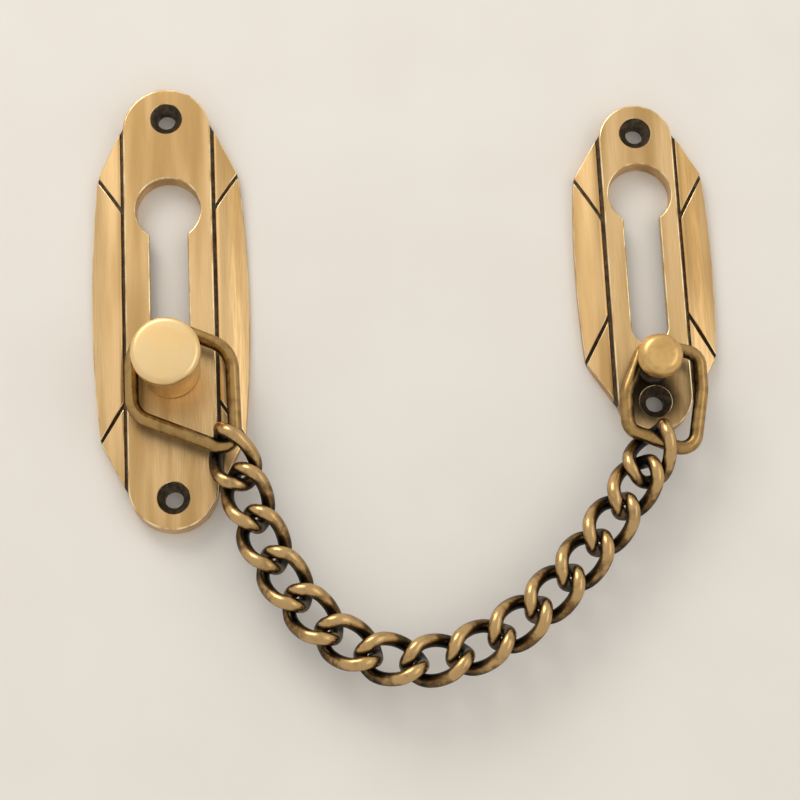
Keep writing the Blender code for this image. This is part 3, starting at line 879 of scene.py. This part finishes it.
def link_shade_and_patina(inner, front, sunk):
    """The same painted shade, with the limbs that dip towards the door darker still."""
    return clamp(0.80 - 0.66 * front + 0.20 * inner + 0.15 * sunk)


def make_ring(node, corners, axis, material):
    place = Vector((axis.x, CHAIN_Y, axis.z))
    line = [place + Vector((p.x, 0, p.y)) for p in resample(rounded(corners), RING_STEP)]
    centre = sum(line, Vector()) / len(line)
    ring = loop_tube(f"{node}_fine", line, centre, WIRE_FIT * RING_WIRE, ring_shade_and_patina, material)
    adopt(ring, node, node)


def link_line():
    """The centre line of one twisted link, lying along X with its width along Z."""
    half_length = LINK_LENGTH / 2 - LINK_WIRE
    half_width = LINK_WIDTH / 2 - LINK_WIRE
    straight = half_length - half_width
    oval = arc((straight, 0), half_width, -math.pi / 2, math.pi / 2)
    oval += arc((-straight, 0), half_width, math.pi / 2, 3 * math.pi / 2)
    line = []
    for point in resample(oval, LINK_STEP):
        turn = LINK_TWIST * point.x / half_length
        line.append(Vector((point.x, point.y * math.sin(turn), point.y * math.cos(turn))))
    return line


def centroid(node):
    vertices = frame["nodes"][node].data.vertices
    return sum((v.co for v in vertices), Vector()) / len(vertices)


def make_links(material):
    joints = {joint["child"]: joint for joint in frame["joints"]}
    line = link_line()
    for number in range(1, LINK_COUNT + 1):
        node = f"link_{number:02d}"
        centre = centroid(node)
        pivot = Vector(joints[node]["pos_m"])
        lie = centre - pivot if number <= LEFT_LINKS else pivot - centre
        angle = math.atan2(lie.z, lie.x)
        roll = {1: END_ROLL, LINK_COUNT: -END_ROLL}.get(number, 0)
        turn = Matrix.Rotation(-angle, 3, "Y") @ Matrix.Rotation(roll, 3, "X")
        placed = [centre + turn @ point for point in line]
        link = loop_tube(f"{node}_fine", placed, centre, WIRE_FIT * LINK_WIRE, link_shade_and_patina, material)
        adopt(link, node, node)


# Stage

def fill(work, loops):
    """Faces between loops of (x, z) points, just behind the plates and facing the room."""
    edges = []
    for loop in loops:
        ring = [work.verts.new((p.x, WALL_BEHIND, p.y)) for p in loop]
        edges += [work.edges.new((ring[i - 1], ring[i])) for i in range(len(ring))]
    made = bmesh.ops.triangle_fill(work, use_beauty=True, use_dissolve=False, edges=edges)
    for face in made["geom"]:
        if isinstance(face, bmesh.types.BMFace):
            face.normal_update()
            if face.normal.y > 0:
                face.normal_flip()


def make_wall():
    """A pale flat door, open behind the plates' metal so that their backs take light too."""
    reach = WALL_REACH
    edge = [Vector(corner) for corner in ((-reach, -reach), (reach, -reach), (reach, reach), (-reach, reach))]
    work = bmesh.new()
    open_loops = [edge]
    for spec, box in ((KEEPER, KEEPER_BOX), (ANCHOR, ANCHOR_BOX)):
        origin = middle(box)
        half_height = (box[1].z - box[0].z) / 2
        here = Vector((origin.x, origin.z))
        half_width = (box[1].x - box[0].x) / 2
        wing = wing_outline(spec, half_height, half_width)
        around = strip_outline(spec, half_height) + wing + mirrored(wing, -1)
        hull = [around[i] for i in convex_hull_2d(around)]
        open_loops.append([here + p for p in offset(hull, WALL_OVERLAP)])
        fill(work, [[here + p for p in offset(keyhole_outline(spec, half_height), -WALL_OVERLAP)]])
        for way in (-1, 1):
            hole = (0, way * (half_height - spec["screw_inset"]))
            fill(work, [[here + p for p in arc(hole, SCREW_BORE / 2 + GAP, 0, 2 * math.pi)[:-1]]])
    fill(work, open_loops)
    mesh = bpy.data.meshes.new("door")
    work.to_mesh(mesh)
    work.free()
    mesh.materials.append(plaster("door_paint"))
    new_object("door", mesh)


def area_light(name, place, target, size, power, colour):
    light = bpy.data.lights.new(name, "AREA")
    light.shape = "RECTANGLE"
    light.size, light.size_y = size
    light.energy = power
    light.color = colour
    obj = new_object(name, light)
    obj.location = place
    obj.rotation_euler = (Vector(target) - Vector(place)).to_track_quat("-Z", "Y").to_euler()


def make_lights():
    aim = Vector((0.06, 0, 0))
    area_light("key", (-0.45, -0.75, 1.0), aim, (0.7, 0.7), 7.0, (1.0, 0.98, 0.95))
    area_light("fill", (0.9, -0.9, 0.0), aim, (0.5, 1.1), 1.6, (1.0, 0.97, 0.93))
    area_light("back_left", (-0.7, 0.9, 0.6), aim, (0.6, 0.6), 7.0, (1.0, 0.98, 0.95))
    area_light("back_right", (0.8, 0.8, 0.1), aim, (0.5, 0.8), 5.0, (1.0, 0.98, 0.95))


def make_world():
    """A soft room: bright overhead, dimmer below."""
    world = bpy.data.worlds.new("room")
    bpy.context.scene.world = world
    world.use_nodes = True
    tree = world.node_tree
    background = tree.nodes["Background"]
    place = tree.nodes.new("ShaderNodeTexCoord")
    split = tree.nodes.new("ShaderNodeSeparateXYZ")
    height = tree.nodes.new("ShaderNodeMapRange")
    ramp = tree.nodes.new("ShaderNodeValToRGB")
    height.inputs["From Min"].default_value = -1.0
    tree.links.new(place.outputs["Generated"], split.inputs["Vector"])
    tree.links.new(split.outputs["Z"], height.inputs["Value"])
    tree.links.new(height.outputs["Result"], ramp.inputs["Fac"])
    tree.links.new(ramp.outputs["Color"], background.inputs["Color"])
    stops = ramp.color_ramp.elements
    stops[0].position, stops[0].color = 0.0, (0.84, 0.82, 0.80, 1)
    stops[1].position, stops[1].color = 1.0, (0.98, 0.97, 0.96, 1)
    background.inputs["Strength"].default_value = 0.88


def make_camera():
    """The photograph's viewpoint: below the guard and a little left of its middle, looking up."""
    yaw, pitch, roll = CAMERA_TURNS
    data = bpy.data.cameras.new("camera")
    data.sensor_width = 36
    data.lens = CAMERA_LENS
    camera = new_object("camera", data)
    forward_level = Vector((-math.sin(yaw), math.cos(yaw), 0))
    right = Vector((math.cos(yaw), math.sin(yaw), 0))
    forward = math.cos(pitch) * forward_level + math.sin(pitch) * Vector((0, 0, 1))
    up = math.cos(pitch) * Vector((0, 0, 1)) - math.sin(pitch) * forward_level
    turned_right = math.cos(roll) * right + math.sin(roll) * up
    turned_up = math.cos(roll) * up - math.sin(roll) * right
    camera.matrix_world = Matrix.Translation(CAMERA_PLACE) @ Matrix(
        (turned_right, turned_up, -forward)
    ).transposed().to_4x4()
    bpy.context.scene.camera = camera


def main():
    keeper_brass = brushed_brass("keeper_brass", PALE_GOLD, GOLD, UMBER)
    # Painted shade on the anchor plate just below the post, inside its ring.
    below_post = POST_AXIS + Vector((-1.0 * mm, 0, -7.5 * mm))
    below_post.y = -PLATE_DEPTH
    anchor_brass = brushed_brass("anchor_brass", PALE_GOLD, GOLD, UMBER, shade_patch=(below_post, 9 * mm))
    worn, oxide_and_shade = worn_brass("worn_edges"), patina_and_shade("groove_patina_and_shade")
    knob_brass = satin_brass("knob_satin_brass", (0.90, 0.66, 0.33), (0.84, 0.58, 0.26))
    post_brass = satin_brass("post_satin_brass", (0.74, 0.48, 0.18), (0.60, 0.37, 0.13), 0.3)
    # Ring and chain bronze, painted light in front and painted shade at the wires' sides and backs.
    ring_bronze = bronze_with_painted_shade("ring_bronze", (0.42, 0.26, 0.095), (0.24, 0.14, 0.05), RING_BLACK)
    chain_bronze = bronze_with_painted_shade("chain_bronze", (0.54, 0.35, 0.15), (0.15, 0.085, 0.03), BLUE_BLACK)
    make_plate("keeper_plate", KEEPER, KEEPER_BOX, [keeper_brass, worn, oxide_and_shade])
    anchor_metals = [anchor_brass, worn, oxide_and_shade]
    make_plate("anchor_plate", ANCHOR, ANCHOR_BOX, anchor_metals, [post_bore(anchor_metals)])
    make_knob([knob_brass, worn, oxide_and_shade])
    make_washer([satin_brass("washer_brass", PALE_GOLD, GOLD), worn, oxide_and_shade])
    make_post([post_brass, worn, oxide_and_shade])
    make_ring("keeper_ring", keeper_ring_corners(), KNOB_AXIS, ring_bronze)
    make_ring("anchor_ring", anchor_ring_corners(), POST_AXIS, ring_bronze)
    make_links(chain_bronze)
    make_wall()
    make_lights()
    make_world()
    make_camera()
    bpy.context.scene.view_settings.view_transform = "Standard"
    bpy.context.view_layer.update()


main()
